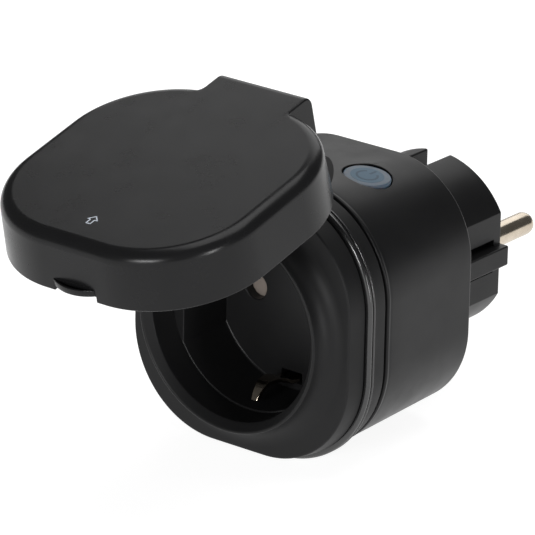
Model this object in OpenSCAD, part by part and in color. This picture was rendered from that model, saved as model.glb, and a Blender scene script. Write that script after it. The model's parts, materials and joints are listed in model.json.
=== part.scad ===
// Splash-proof switching adapter for a round two-pin earthed mains socket.
// Frame: Y = 0 is the plug face that seats in the wall socket, with the pins
// running to +Y. The recess that takes an appliance's plug faces -Y, and +Z is up.
// The lid is drawn closed and then turned open about its hinge pin.

/* [Housing] */
// Width and height of the housing at its front seam
body_w = 54.6; // [54:0.1:55]
// Width and height of the housing at its rear end
rear_w = 52.4; // [52:0.1:53]
// Corner radius of the housing's outline at the front
body_r = 20.9; // [20:0.1:21.2]
// Corner radius of the housing's outline at the rear
rear_r = 18.9; // [18.4:0.1:19.4]
// Length of the rear shell, seam to rear end
body_len = 29.2; // [29:0.1:31]
// Rounding of the rear edge
rear_round = 0.8; // [0.4:0.1:1.2]
// Gap between the front cover and the rear shell, filled by the seal
seam = 0.8; // [0.6:0.1:1]
// Length of the front cover's outer band, face to seam
collar_len = 10.7; // [10.5:0.1:11.5]
// Wall of the mouldings
wall = 2.2; // [2:0.1:2.4]

/* [Recess] */
// Radius of the round recess for the appliance's plug
recess_r = 19.7; // [19.6:0.1:20]
// Depth of the recess, rim to floor
recess_depth = 21.6; // [21:0.1:22]
// Outer radius of the rim that stands in front of the face
rim_r = 21.8; // [21.6:0.1:22]
// How far the rim stands in front of the face
rim_len = 4.6; // [4:0.1:5]
// Half distance between the two guide flats
guide_x = 16.8; // [16.6:0.1:17]
// Depth of the front ends of the guide flats behind the rim
guide_depth = 8; // [7.6:0.1:9]

/* [Plug] */
// Distance between the pins' axes
pin_pitch = 19; // [19:0.1:19.1]
// Pin diameter
pin_d = 4.8; // [4.7:0.1:4.9]
// How far a pin stands out of the plug face
pin_len = 19; // [18.5:0.1:19]
// Radius of the plug body
plug_r = 18.3; // [18.2:0.1:18.4]
// Length of the plug body behind the rear shell
plug_len = 23.8; // [23:0.1:24.5]
// Half distance between the plug's side flats
plug_flat_x = 16.1; // [16:0.1:16.3]
// Width of the earthing notches at the top and bottom
notch_w = 5.4; // [5:0.1:6]
// Radius at which the floor of an earthing notch lies
notch_floor = 14.2; // [14:0.1:14.4]

/* [Lid] */
// Outer width of the lid at its skirt's edge
lid_w = 57.2; // [57:0.1:57.6]
// Outer height of the lid at its skirt's edge
lid_h = 57; // [56.9:0.1:57.3]
// Corner radius of the lid's outline
lid_r = 21.4; // [20.8:0.1:22]
// Depth of the lid, outer face to skirt edge
lid_depth = 12.1; // [12:0.1:12.2]
// Rounding between the outer face and the skirt
lid_round = 2.6; // [2:0.1:3]
// How far the skirt draws in, from its edge to the outer face
lid_draft = 0.6; // [0.4:0.1:0.8]
// Wall of the skirt
skirt_wall = 1.2; // [1.1:0.1:1.3]
// Wall of the outer face
lid_wall = 1.8; // [1.6:0.1:1.9]
// Width of the hinge hood
hood_w = 21.4; // [20:0.2:21.6]
// Angle by which the lid stands open
lid_open = 75; // [0:1:90]

/* [Hinge] */
// Height of the hinge pin above the housing's centre
hinge_z = 30.7; // [30.6:0.1:30.9]
// Distance of the hinge pin behind the front face
hinge_back = 8.6; // [8.4:0.1:8.8]
// Diameter of the hinge pin
hinge_pin_d = 2.4; // [2:0.1:2.4]
// Radius of the hood's end, around the pin
hood_r = 2.9; // [2.6:0.1:3]
// Radius of the fixed ears
ear_r = 4; // [3.6:0.1:4]

/* [Button] */
// Diameter of the button's cap
button_d = 10; // [9.8:0.1:10.4]
// Sideways place of the button
button_x = 11; // [10.5:0.1:11.5]
// Distance of the button in front of the plug face
button_y = 39; // [38:0.1:40]
// Sideways tilt of the button on the curved shoulder
button_tilt = 8; // [7:1:10]
// How far the button goes in
button_travel = 0.5; // [0.3:0.1:0.6]

/* [Hidden] */
$fn = 64;
eps = 0.02;
past = 1; // how far a cutter runs past the face that it cuts

// Stations along Y, from the plug face towards the front
rear_y = -plug_len;
shell_y = rear_y - body_len;
band_y = shell_y - seam;
face_y = band_y - collar_len;
rim_y = face_y - rim_len;
floor_y = rim_y + recess_depth;
floor_t = 2.2;
floor_back = floor_y + floor_t;
pin_hole_r = pin_d / 2 + 0.25;

// Front cover
step_y = face_y + 4.4;          // where the drafted front of the collar ends
front_half = 26.9;              // half width of the collar at its face
insert_y = rim_y + guide_depth; // front of the insert's cup
insert_gap = 0.12;              // the recess wall ends this far in front of the insert
tube_r = rim_r - 0.2;
bead_y0 = face_y + 4.6;
bead_y1 = face_y + 6.6;
bead_half = 28.2;
bead_depth = 1.9; // from the bead's crest to the groove's floor
corner_at = body_w / 2 - body_r; // centre of the corner arcs, from the middle
spigot_half = 24.0;
spigot_len = 2.6;

// Rear shell
cavity_half = 24.2;
cavity_r = 17.7;
rear_inner_y = rear_y - wall;

// Corner screws
screw_xy = 17.4;
post_r = 2.8;
screw_r = 1.4;
screw_head_r = 2.4;
screw_sink = 3.2;
screw_end_y = band_y - 6;
corners = [for (sx = [-1, 1], sz = [-1, 1]) [sx * screw_xy, sz * screw_xy]];

// Hinge and lid
hinge_y = face_y + hinge_back;
lid_y = face_y - 7.8;
skirt_y = lid_y + lid_depth;
hood_top = hinge_z + hood_r;
ear_gap = 0.3;
ear_w = 1.6;
hinge_bore_r = hinge_pin_d / 2 + 0.05;

// Button
outline_mid = (body_w + rear_w) / 4;
outline_mid_r = (body_r + rear_r) / 2;
shoulder = outline_mid - outline_mid_r;
button_sink = 0.1; // the cap's middle lies this far under the shoulder
button_z = shoulder + sqrt(pow(outline_mid_r, 2) - pow(button_x - shoulder, 2)) - button_sink;
button_bore_r = button_d / 2 + 0.2;

// Contacts and boards
pin_x = pin_pitch / 2;
shutter_gap = 0.2;
shutter_t = 1.4;
shutter_y = floor_back + shutter_gap;
block_y = shutter_y + shutter_t + shutter_gap;
block_len = 10;
block_back = block_y + block_len;
bridge_y = block_back + 0.6;
strap_t = 0.8;
strap_w = 4.6;
clip_z = 16.4;
board_y = bridge_y + strap_t + 0.6;
board_t = 1.6;
parts_y = board_y;
hub_r = 1.5;
boss_r = 2.4;

// Screw that holds the contact block to the insert, from behind
thread_r = 1;
screw_tip_y = floor_back - 1.4;
blades = [-12, 0, 12];
pin_root_y = board_y - 0.4;
pin_root_r = pin_d / 2 - 0.2;
pin_relief = 0.6; // depth of the clearance round each pin in the plug face
board_screw_at = [[-18.2, 12.2], [18.2, -12.2]];

// Finger grip at the lid's free end
grip_half = 5;
grip_out = 1.5;
grip_y0 = skirt_y - 2.8;
grip_y1 = skirt_y - 1.4;

// Outline with rounded corners, half width hw and half height hh
module outline(hw, hh, r) {
    square([2 * hw, 2 * (hh - r)], center = true);
    square([2 * (hw - r), 2 * hh], center = true);
    for (sx = [-1, 1], sz = [-1, 1])
        translate([sx * (hw - r), sz * (hh - r)]) circle(r);
}

// Children drawn in X and Z, and carried along Y from y0 to y1
module slab(y0, y1) {
    translate([0, y1, 0]) rotate([90, 0, 0]) linear_extrude(y1 - y0) children();
}

// Children drawn in Y and Z, and carried along X from x0 to x1
module bar(x0, x1) {
    translate([x0, 0, 0]) rotate([90, 0, 90]) linear_extrude(x1 - x0) children();
}

// Children drawn as radius and Y, and turned about the Y axis
module turned() {
    rotate([-90, 0, 0]) rotate_extrude($fn = 96) children();
}

// Round rod along Y
module rod(x, z, y0, y1, r) {
    translate([x, y1, z]) rotate([90, 0, 0]) cylinder(h = y1 - y0, r = r);
}

// Round rod along X through the hinge axis
module hinge_rod(x0, x1, r) {
    translate([x0, hinge_y, hinge_z]) rotate([0, 90, 0]) cylinder(h = x1 - x0, r = r);
}

// Block between two opposite corners
module block(low, high) {
    translate(low) cube(high - low);
}

// The lid's turn from closed to its open place
module lid_place() {
    translate([0, hinge_y, hinge_z]) rotate([-lid_open, 0, 0])
        translate([0, -hinge_y, -hinge_z]) children();
}

// Local frame of the button: origin on the shoulder, +Z out of it
module at_button() {
    translate([button_x, -button_y, button_z]) rotate([0, button_tilt, 0]) children();
}

// One earthing clip, bowed into the recess so that it presses on a plug
module earth_clip(side) {
    path = [[bridge_y, clip_z], [floor_y - 1.6, clip_z], [floor_y - 6, 14.9], [floor_y - 9.4, 15.1],
        [floor_y - 11.6, 17.0], [floor_y - 12.2, 18.4]];
    outer = [for (p = path) [p[0], p[1] + strap_t]];
    back = [for (i = [len(outer) - 1:-1:0]) i < 4 ? outer[i] : outer[i] + [0.75, -0.35]];
    bar(-strap_w / 2, strap_w / 2) scale([1, side]) polygon(concat(path, back));
}

// One earthing strip of the plug, bowed out of its notch
module plug_strip(side) {
    z0 = notch_floor + 0.02;
    path = [[bridge_y + strap_t, z0], [-17, z0], [-14, z0 + 0.3], [-11, z0 + 1.2], [-8, z0 + 1.3],
        [-5, z0 + 0.5], [-3.4, z0]];
    back = [for (i = [len(path) - 1:-1:0]) path[i] + [0, strap_t]];
    bar(-strap_w / 2, strap_w / 2) scale([1, side]) polygon(concat(path, back));
}

// One mains pin with a domed tip
module mains_pin(x) {
    r = pin_d / 2;
    dome = 2.4;
    translate([x, 0, 0]) turned() polygon(concat(
        [[0, pin_root_y], [pin_root_r, pin_root_y], [pin_root_r, 0], [r, 0]],
        [for (a = [0:15:90]) [r * cos(a), pin_len - dome + dome * sin(a)]]));
}

// One sleeve contact, split along its length
module sleeve_contact(x) {
    difference() {
        rod(x, 0, block_y + 0.4, block_back + 1.2, 3.2);
        rod(x, 0, block_y - past, block_back - 1, pin_d / 2 - 0.05);
        block([x - 0.4, block_y - past, 0], [x + 0.4, block_back - 2, 4]);
    }
}

module front_cover() {
    color("#2b2b2d") difference() {
        union() {
            slab(face_y, step_y + 0.01) outline(front_half, front_half, body_r);
            slab(step_y, band_y) difference() {
                outline(body_w / 2, body_w / 2, body_r);
                circle(tube_r - 0.5);
            }
            turned() rim_profile();
            slab(band_y - 2, band_y + spigot_len) difference() {
                outline(spigot_half, spigot_half, cavity_r - 0.2);
                outline(spigot_half - 1.8, spigot_half - 1.8, cavity_r - 2);
            }
            for (sx = [-1, 1]) scale([sx, 1, 1]) ear();
        }
        // space behind the face, around the recess tube
        slab(face_y + wall, band_y - 2) cover_hollow(spigot_half - 0.4, cavity_r - 0.6);
        slab(band_y - 2 - eps, band_y + past) cover_hollow(spigot_half - 1.8, cavity_r - 2);
        rod(0, 0, rim_y - past, insert_y, recess_r);
        rod(0, 0, insert_y - insert_gap, floor_y + past, recess_r + 0.6);
        slab(bead_y0, bead_y1) difference() {
            outline(bead_half + 2, bead_half + 2, body_r);
            groove_outline(bead_half - bead_depth);
        }
        for (c = corners) rod(c[0], c[1], screw_end_y, band_y + spigot_len + past, screw_r);
        hinge_rod(-hood_w, hood_w, hinge_pin_d / 2);
    }
}

// Section of the rim and the recess tube, with a hollow fillet onto the face
module rim_profile() {
    fillet = 4;
    polygon(concat(
        [[recess_r - past, face_y + wall], [recess_r - past, rim_y + 1.4], [recess_r, rim_y + 1.4],
            [rim_r - 0.4, rim_y], [rim_r, rim_y + 0.4]],
        [for (a = [0:15:90]) [rim_r + fillet * (1 - cos(a)), face_y + eps - fillet * (1 - sin(a))]],
        [[rim_r + fillet, face_y + wall]]));
    translate([recess_r - past, face_y]) square([tube_r - recess_r + past, floor_y - face_y]);
}

// Section of the space between the cover's wall, its screw posts and the recess tube
module cover_hollow(half, r) {
    difference() {
        outline(half, half, r);
        circle(tube_r);
        for (c = corners) translate(c) circle(post_r);
    }
}

// One fixed ear of the hinge
module ear() {
    x0 = hood_w / 2 + ear_gap;
    hinge_rod(x0, x0 + ear_w, ear_r);
    block([x0, step_y + 1, body_w / 2 - 2.5], [x0 + ear_w, band_y, hinge_z - 1.5]);
}

module socket_insert() {
    cup_r = recess_r + 0.55;
    inner_r = recess_r - 0.35;
    color("#262628") difference() {
        union() {
            rod(0, 0, insert_y, floor_back, cup_r);
            rod(0, 0, floor_y, floor_back, tube_r);
        }
        slab(insert_y - past, floor_y) difference() {
            circle(inner_r);
            for (sx = [-1, 1]) translate([sx * (guide_x + 5), 0]) square([10, 40], center = true);
        }
        // guide slots in the flats, which take the ribs of a plug
        for (sx = [-1, 1]) block([sx * 17.6 - 1.6, insert_y - past, -2.6], [sx * 17.6 + 1.6, floor_y, 2.6]);
        for (sx = [-1, 1]) rod(sx * pin_x, 0, floor_y - past, floor_back + past, pin_hole_r);
        for (sz = [-1, 1]) block([-strap_w / 2 - 0.3, floor_y - past, sz * clip_z + sz * 0.4 - 1.2],
            [strap_w / 2 + 0.3, floor_back + past, sz * clip_z + sz * 0.4 + 1.2]);
        rod(0, 0, screw_tip_y, floor_back + past, thread_r);
    }
}

// Outline that follows the housing's corners at a given half width
module groove_outline(half) {
    outline(half, half, half - corner_at);
}

module collar_gasket() {
    color("#18181a") slab(bead_y0 + 0.05, bead_y1 - 0.05) difference() {
        groove_outline(bead_half);
        groove_outline(bead_half - bead_depth + 0.05);
    }
}

module housing_seal() {
    color("#101011") slab(band_y + eps, shell_y - eps) difference() {
        outline(body_w / 2 - 0.7, body_w / 2 - 0.7, body_r - 0.7);
        outline(spigot_half + 0.05, spigot_half + 0.05, cavity_r - 0.15);
    }
}

module rear_shell() {
    edge = body_w / 2;
    end = rear_w / 2;
    color("#2b2b2d") difference() {
        union() {
            difference() {
                hull() {
                    slab(shell_y, shell_y + 0.3) outline(edge - 0.3, edge - 0.3, body_r - 0.3);
                    slab(shell_y + 0.4, shell_y + 0.8) outline(edge, edge, body_r);
                    slab(rear_y - rear_round, rear_y - rear_round + 0.1) outline(end, end, rear_r);
                    for (a = [30:30:90]) slab(rear_y - rear_round * (1 - sin(a)) - 0.02,
                        rear_y - rear_round * (1 - sin(a)))
                        outline(end - rear_round * (1 - cos(a)), end - rear_round * (1 - cos(a)),
                            rear_r - rear_round * (1 - cos(a)));
                }
                slab(shell_y - past, rear_inner_y) outline(cavity_half, cavity_half, cavity_r);
            }
            for (c = corners) rod(c[0], c[1], shell_y + spigot_len + 1, rear_inner_y + eps, post_r);
            for (c = board_screw_at) rod(c[0], c[1], board_y + board_t, rear_inner_y + eps, 1.9);
            at_button() translate([0, 0, -4.6]) cylinder(h = 3.4, r = button_bore_r + 1.2);
        }
        rod(0, 0, rear_inner_y - past, rear_y + past, plug_r + 0.03);
        for (c = corners) rod(c[0], c[1], shell_y, rear_y + past, screw_r + 0.15);
        for (c = corners) rod(c[0], c[1], rear_y - screw_sink, rear_y + past, screw_head_r + 0.3);
        for (c = board_screw_at) rod(c[0], c[1], board_y, rear_inner_y - 0.6, 1);
        at_button() translate([0, 0, -8]) cylinder(h = 12, r = button_bore_r);
    }
}

module plug_base() {
    flange_r = plug_r + 1.6;
    flat_h = 9;
    rib_h = 2.1;
    color("#2b2b2d") difference() {
        union() {
            rod(0, 0, rear_inner_y, 0, plug_r);
            rod(0, 0, rear_inner_y - 2, rear_inner_y, flange_r);
        }
        difference() {
            rod(0, 0, rear_inner_y - 2 - past, -4, 12);
            for (sx = [-1, 1]) rod(sx * pin_x, 0, rear_inner_y - 4, 0, 4.2);
        }
        for (sx = [-1, 1]) rod(sx * pin_x, 0, rear_inner_y - 4, past, pin_root_r);
        for (sx = [-1, 1]) rod(sx * pin_x, 0, -pin_relief, past, pin_d / 2 + 0.1);
        for (sx = [-1, 1]) difference() {
            block([sx * (plug_flat_x + 5) - 5, -18.6, -12], [sx * (plug_flat_x + 5) + 5, past, 12]);
            block([sx * 12 - 6.4, -20, -rib_h], [sx * 12 + 6.4, 2 * past, rib_h]);
        }
        for (sx = [-1, 1], sz = [-1, 1]) block([sx * 15.4 - 1.2, -11.8, sz * 2.8 - 0.7],
            [sx * 15.4 + 1.2, -2.4, sz * 2.8 + 0.7]);
        for (sz = [-1, 1]) {
            block([-notch_w / 2, -19, sz * (notch_floor + 5) - 5],
                [notch_w / 2, past, sz * (notch_floor + 5) + 5]);
            block([-strap_w / 2, rear_inner_y - 4, sz * (notch_floor + 0.43) - 0.43],
                [strap_w / 2, -18, sz * (notch_floor + 0.43) + 0.43]);
        }
    }
}

// Outline of the hood, drawn in X and Z, with a hollow flare at its foot
module hood_outline(z0) {
    flare = 2;
    half = hood_w / 2;
    translate([-half, z0]) square([hood_w, hood_top - z0]);
    foot = lid_h / 2 - 1.6;
    for (sx = [-1, 1]) difference() {
        translate([sx * (half + flare / 2), foot + flare / 2 - 1]) square([flare, flare + 2], center = true);
        translate([sx * (half + flare), foot + flare]) circle(flare);
    }
}

// Bowed lip of the finger grip: stands out of the skirt's free end, and reaches in by depth
module grip_bow(out, depth) {
    r = (pow(grip_half, 2) + pow(out, 2)) / (2 * out);
    intersection() {
        translate([0, r - out - lid_h / 2]) circle(r);
        translate([-grip_half - 1, -lid_h / 2 - out - 1]) square([2 * grip_half + 2, out + 1 + depth]);
    }
}

module lid() {
    hw = lid_w / 2;
    hh = lid_h / 2;
    color("#2e2e30") lid_place() difference() {
        union() {
            hull() {
                for (a = [0:30:90]) {
                    inset = lid_draft + lid_round * (1 - sin(a));
                    y = lid_y + lid_round * (1 - cos(a));
                    slab(y, y + 0.05) outline(hw - inset, hh - inset, lid_r - inset);
                }
                slab(skirt_y - 0.05, skirt_y) outline(hw, hh, lid_r);
            }
            slab(grip_y0, grip_y1) grip_bow(grip_out, 0.7);
            slab(lid_y + 0.3, skirt_y) hood_outline(hh - 2);
            slab(lid_y, lid_y + 0.4) translate([-hood_w / 2, hh - 4]) square([hood_w, hood_top - hh + 3]);
            bar(-hood_w / 2, hood_w / 2) {
                translate([skirt_y - past, hinge_z - 1.2]) square([hinge_y - skirt_y + past, hood_r + 1.2]);
                translate([hinge_y, hinge_z]) circle(hood_r);
            }
        }
        hull() for (y = [lid_y + lid_wall, skirt_y]) {
            inset = skirt_wall + (y < skirt_y ? lid_draft : 0);
            slab(y, y + (y < skirt_y ? 0.05 : past)) outline(hw - inset, hh - inset, lid_r - inset);
        }
        // hollow under the hood
        block([-hood_w / 2 + 1.5, lid_y + 1.8, hh - 3], [hood_w / 2 - 1.5, skirt_y + 0.2, hood_top - 1.6]);
        // finger notch at the free end
        block([-grip_half - 0.2, grip_y1, -hh - 2], [grip_half + 0.2, skirt_y + past, -hh + 3]);
        slab(grip_y0 - eps, grip_y1 - 0.4) grip_bow(grip_out - 0.5, 0);
        hinge_rod(-hood_w, hood_w, hinge_bore_r);
    }
}

module lid_gasket() {
    color("#1a1a1b") lid_place() slab(lid_y + lid_wall, rim_y - 0.2) difference() {
        circle(rim_r + 0.6);
        circle(recess_r - 0.8);
    }
}

module hinge_pin() {
    reach = hood_w / 2 + ear_gap + ear_w - 0.1;
    color("silver") hinge_rod(-reach, reach, hinge_pin_d / 2);
}

module power_button() {
    color("#6f7d86") at_button() {
        translate([0, 0, -2.2]) cylinder(h = 2.2, r = button_d / 2);
        translate([0, 0, -5]) cylinder(h = 3, r = 1.6);
    }
}

module button_seal() {
    color("#3c3c3e") at_button() difference() {
        translate([0, 0, -4.4]) cylinder(h = 0.8, r = button_bore_r);
        translate([0, 0, -6]) cylinder(h = 4, r = 1.9);
    }
}

module tact_switch() {
    color("#8c8c8c") at_button() {
        translate([-2.25, -2.25, -9.2]) cube([4.5, 4.5, 3]);
        translate([0, 0, -6.3]) cylinder(h = 0.7, r = 1.2);
    }
}

module status_led() {
    color("white") at_button() translate([-4.6, -1, -9.2]) cube([1.6, 2, 0.8]);
}

module button_board() {
    color("#1f5a3a") at_button() translate([-6, -6, -10.4]) cube([8.6, 12, 1.2]);
}

module main_board() {
    color("#1f5a3a") difference() {
        slab(board_y, board_y + board_t) difference() {
            outline(22.4, 22.4, 16.5);
            for (c = corners) translate(c) circle(post_r + 0.5);
            for (sz = [-1, 1]) translate([0, sz * (notch_floor + 0.4)])
                square([strap_w + 1, 2.2], center = true);
        }
        for (sx = [-1, 1]) rod(sx * pin_x, 0, board_y - past, board_y + board_t + past, 2.6);
        for (c = board_screw_at) rod(c[0], c[1], board_y - past, board_y + board_t + past, 1.1);
        rod(0, 0, board_y - past, board_y + board_t + past, 3);
    }
}

module relay() {
    color("#2050a0") block([-13.6, parts_y - 12.2, -20], [-3.2, parts_y, -8.5]);
}

module power_supply() {
    color("#d0c060") {
        block([3.6, parts_y - 11, -19], [13.2, parts_y - 3, -9]);
        block([3.2, parts_y - 3, -19.4], [13.6, parts_y, -8.6]);
    }
}

module storage_capacitor() {
    color("#303048") rod(-10, 14.5, parts_y - 11.5, parts_y, 4);
}

module filter_capacitor() {
    color("#c8a030") block([16.2, parts_y - 9, -6.5], [20.4, parts_y, 6.5]);
}

module varistor() {
    color("#3050a0") translate([-20.4, parts_y - 5, 0]) rotate([0, 90, 0]) cylinder(h = 3.6, r = 4.9);
}

module wireless_module() {
    color("#555558") {
        block([-16, parts_y - 11, 8.2], [-3, parts_y, 9]);
        block([-15, parts_y - 10, 7.2], [-4, parts_y - 3, 8.2]);
    }
}

module fuse() {
    color("#b8b8b0") translate([4.5, parts_y - 1.7, 10.4]) rotate([0, 90, 0]) cylinder(h = 10, r = 1.6);
}

module contact_block() {
    color("#e4e2da") difference() {
        union() {
            slab(block_y, block_back) outline(14.6, 6.6, 3);
            rod(0, 0, floor_back, block_y + eps, hub_r);
            rod(0, 0, block_back - eps, bridge_y, boss_r);
        }
        for (sx = [-1, 1]) rod(sx * pin_x, 0, block_y - past, block_back + past, 3.25);
        turned() translate([2.6, block_y - past]) square([1.6, 2.8 + past]);
        rod(0, 0, floor_back - past, bridge_y + past, thread_r);
    }
}

module shutter() {
    reach = 13.2;
    color("#d8d8d4") slab(shutter_y, shutter_y + shutter_t) difference() {
        union() {
            circle(4.4);
            intersection() {
                circle(reach);
                union() for (a = blades) rotate(a) square([2 * reach, 4.4], center = true);
            }
        }
        circle(hub_r + 0.06);
    }
}

module shutter_spring() {
    color("silver") turned() for (i = [0:2])
        translate([3.4, block_y + 0.7 + i * 0.75]) circle(0.33, $fn = 24);
}

module live_contact() {
    color("#c9a15a") sleeve_contact(pin_x);
}

module neutral_contact() {
    color("#c9a15a") sleeve_contact(-pin_x);
}

module earth_clip_upper() {
    color("silver") earth_clip(1);
}

module earth_clip_lower() {
    color("silver") earth_clip(-1);
}

module earth_bridge() {
    color("#c9a15a") slab(bridge_y, bridge_y + strap_t) difference() {
        square([strap_w, 2 * (clip_z + strap_t)], center = true);
        circle(thread_r + 0.1);
    }
}

module plug_earth_upper() {
    color("silver") plug_strip(1);
}

module plug_earth_lower() {
    color("silver") plug_strip(-1);
}

module live_pin() {
    color("silver") mains_pin(pin_x);
}

module neutral_pin() {
    color("silver") mains_pin(-pin_x);
}

module housing_screws() {
    color("silver") for (c = corners) difference() {
        union() {
            rod(c[0], c[1], screw_end_y + 1, rear_y - screw_sink + eps, screw_r);
            rod(c[0], c[1], rear_y - screw_sink, rear_y - screw_sink + 1.8, screw_head_r);
        }
        for (a = [0, 90]) translate([c[0], rear_y - screw_sink + 1.4, c[1]]) rotate([0, a, 0])
            cube([3, 1, 0.6], center = true);
    }
}

module insert_screw() {
    color("silver") difference() {
        union() {
            rod(0, 0, screw_tip_y + 0.1, bridge_y + strap_t + eps, thread_r);
            rod(0, 0, bridge_y + strap_t, bridge_y + strap_t + 1.4, 2.6);
        }
        for (a = [0, 90]) translate([0, bridge_y + strap_t + 1.3, 0]) rotate([0, a, 0])
            cube([3.4, 1, 0.6], center = true);
    }
}

module board_screws() {
    color("silver") for (c = board_screw_at) {
        rod(c[0], c[1], board_y - 1.2, board_y, 1.9);
        rod(c[0], c[1], board_y - eps, rear_inner_y - 1, 1);
    }
}

front_cover();
socket_insert();
collar_gasket();
housing_seal();
rear_shell();
plug_base();
lid();
lid_gasket();
hinge_pin();
power_button();
button_seal();
button_board();
tact_switch();
status_led();
main_board();
relay();
power_supply();
storage_capacitor();
filter_capacitor();
varistor();
wireless_module();
fuse();
contact_block();
live_contact();
neutral_contact();
shutter();
shutter_spring();
earth_clip_upper();
earth_clip_lower();
earth_bridge();
plug_earth_upper();
plug_earth_lower();
live_pin();
neutral_pin();
housing_screws();
insert_screw();
board_screws();
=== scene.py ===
# Looks of a splash-proof switching adapter plug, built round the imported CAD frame.
# Lengths in this file are millimetres. new_piece() and the few lines that use MM turn them into metres.
import json
import math

import bmesh
import bpy
from mathutils import Matrix, Vector


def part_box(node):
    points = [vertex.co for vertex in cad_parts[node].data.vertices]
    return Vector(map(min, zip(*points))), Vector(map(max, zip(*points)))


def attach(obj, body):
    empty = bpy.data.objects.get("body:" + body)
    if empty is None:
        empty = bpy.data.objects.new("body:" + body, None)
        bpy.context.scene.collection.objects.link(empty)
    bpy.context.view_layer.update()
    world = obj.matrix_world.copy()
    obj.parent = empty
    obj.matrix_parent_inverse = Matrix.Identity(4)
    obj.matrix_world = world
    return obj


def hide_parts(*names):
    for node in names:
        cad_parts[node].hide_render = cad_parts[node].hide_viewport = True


MM = 0.001
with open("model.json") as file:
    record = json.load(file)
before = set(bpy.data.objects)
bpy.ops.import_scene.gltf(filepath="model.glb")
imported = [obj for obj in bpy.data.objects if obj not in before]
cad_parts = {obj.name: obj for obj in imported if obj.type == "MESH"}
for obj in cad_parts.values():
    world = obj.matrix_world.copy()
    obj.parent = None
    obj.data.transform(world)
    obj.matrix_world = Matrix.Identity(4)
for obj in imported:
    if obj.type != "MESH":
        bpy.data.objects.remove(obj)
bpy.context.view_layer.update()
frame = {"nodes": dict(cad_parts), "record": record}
nodes = frame["nodes"]


def box_mm(node):
    low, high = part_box(node)
    return low / MM, high / MM


# ---------------------------------------------------------------- stations: read from the CAD, or its sizes
shell_lo, shell_hi = box_mm("rear_shell")
cover_lo, cover_hi = box_mm("front_cover")
insert_lo, insert_hi = box_mm("socket_insert")
base_lo, base_hi = box_mm("plug_base")
bead_lo, bead_hi = box_mm("collar_gasket")
pin_lo, pin_hi = box_mm("live_pin")
hinge_lo, hinge_hi = box_mm("hinge_pin")

BODY = shell_hi.x                      # half width of the housing at its front seam
SHELL_Y, REAR_Y = shell_lo.y, shell_hi.y
RIM_Y = cover_lo.y
RIM_PROUD = 4.6                        # how far the rim stands out of the cover's face
FACE_Y = RIM_Y + RIM_PROUD
BAND_Y = SHELL_Y - 0.8
FLOOR_Y = cover_hi.y
FLOOR_BACK = insert_hi.y
INSERT_Y = insert_lo.y
BODY_R, REAR_R, REAR = 20.9, 18.9, 26.2
REAR_ROUND = 0.8
RECESS_R, RIM_R, TUBE_R = 19.7, 21.8, 21.6
WALL = 2.2
REAR_IN = REAR_Y - WALL
PLUG_R = 18.3
HINGE_Y = (hinge_lo.y + hinge_hi.y) / 2
HINGE_Z = (hinge_lo.z + hinge_hi.z) / 2
PIN_R, PIN_X = 2.4, 9.5
LID_DEPTH = 12.1
LID_Y = FACE_Y - 7.8                   # outer face of the closed lid
SKIRT_Y = LID_Y + LID_DEPTH
LID_W, LID_H, LID_R = 28.6, 28.5, 21.4    # half sizes at the skirt's edge
LID_DRAFT = 0.6
LID_WALL = 1.2
LID_OPEN = math.radians(75)
HOOD = 10.7                            # half width of the hinge hood
HOOD_R = 2.9
HOOD_TOP = HINGE_Z + HOOD_R
BUTTON_AT = Vector((11.0, -39.0, 26.212))
BUTTON_TILT = math.radians(8)
CORNERS = [(x, z) for x in (-17.4, 17.4) for z in (-17.4, 17.4)]    # the corner screws
GROOVE = 1.88                          # from the bead's crest to the floor of its groove


# ---------------------------------------------------------------- mesh helpers
def along_y(u, v, w):
    return (u, w, v)


def along_x(u, v, w):
    return (w, u, v)


def about_hinge(u, v, w):
    return (w, HINGE_Y + u, HINGE_Z + v)


def lid_open(point):
    """A point of the closed lid, turned about the hinge pin to where the lid stands."""
    x, y, z = point
    dy, dz = y - HINGE_Y, z - HINGE_Z
    c, s = math.cos(LID_OPEN), math.sin(LID_OPEN)
    return (x, HINGE_Y + dy * c + dz * s, HINGE_Z - dy * s + dz * c)


BUTTON_FRAME = Matrix.Translation(BUTTON_AT) @ Matrix.Rotation(BUTTON_TILT, 4, "Y")


def on_button(u, v, w):
    return tuple(BUTTON_FRAME @ Vector((u, v, w)))


def new_piece(name, verts, faces):
    mesh = bpy.data.meshes.new(name)
    mesh.from_pydata([[c * MM for c in v] for v in verts], [], faces)
    piece = bpy.data.objects.new(name, mesh)
    bpy.context.scene.collection.objects.link(piece)
    clean(mesh)
    return piece


def clean(mesh):
    bm = bmesh.new()
    bm.from_mesh(mesh)
    bmesh.ops.remove_doubles(bm, verts=bm.verts, dist=2e-7)
    bmesh.ops.dissolve_degenerate(bm, edges=bm.edges, dist=1e-7)
    bmesh.ops.recalc_face_normals(bm, faces=bm.faces)
    bm.to_mesh(mesh)
    bm.free()


def loft(name, rings, closed=False):
    """Rings of equally many points, joined by quads; closed joins the last ring to the first."""
    n, count = len(rings[0]), len(rings)
    verts = [p for ring in rings for p in ring]
    faces = []
    for k in range(count if closed else count - 1):
        a, b = k * n, ((k + 1) % count) * n
        for i in range(n):
            j = (i + 1) % n
            faces.append((a + i, a + j, b + j, b + i))
    if not closed:
        faces.append(tuple(range(n)))
        faces.append(tuple(range((count - 1) * n, count * n)))
    return new_piece(name, verts, faces)


def corner_arc(steps=4):
    """Turns of a quarter round, as (share of the radius moved in, share moved along)."""
    return [(1 - math.sin(t), 1 - math.cos(t)) for t in (math.pi / 2 * k / steps for k in range(steps + 1))]


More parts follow.
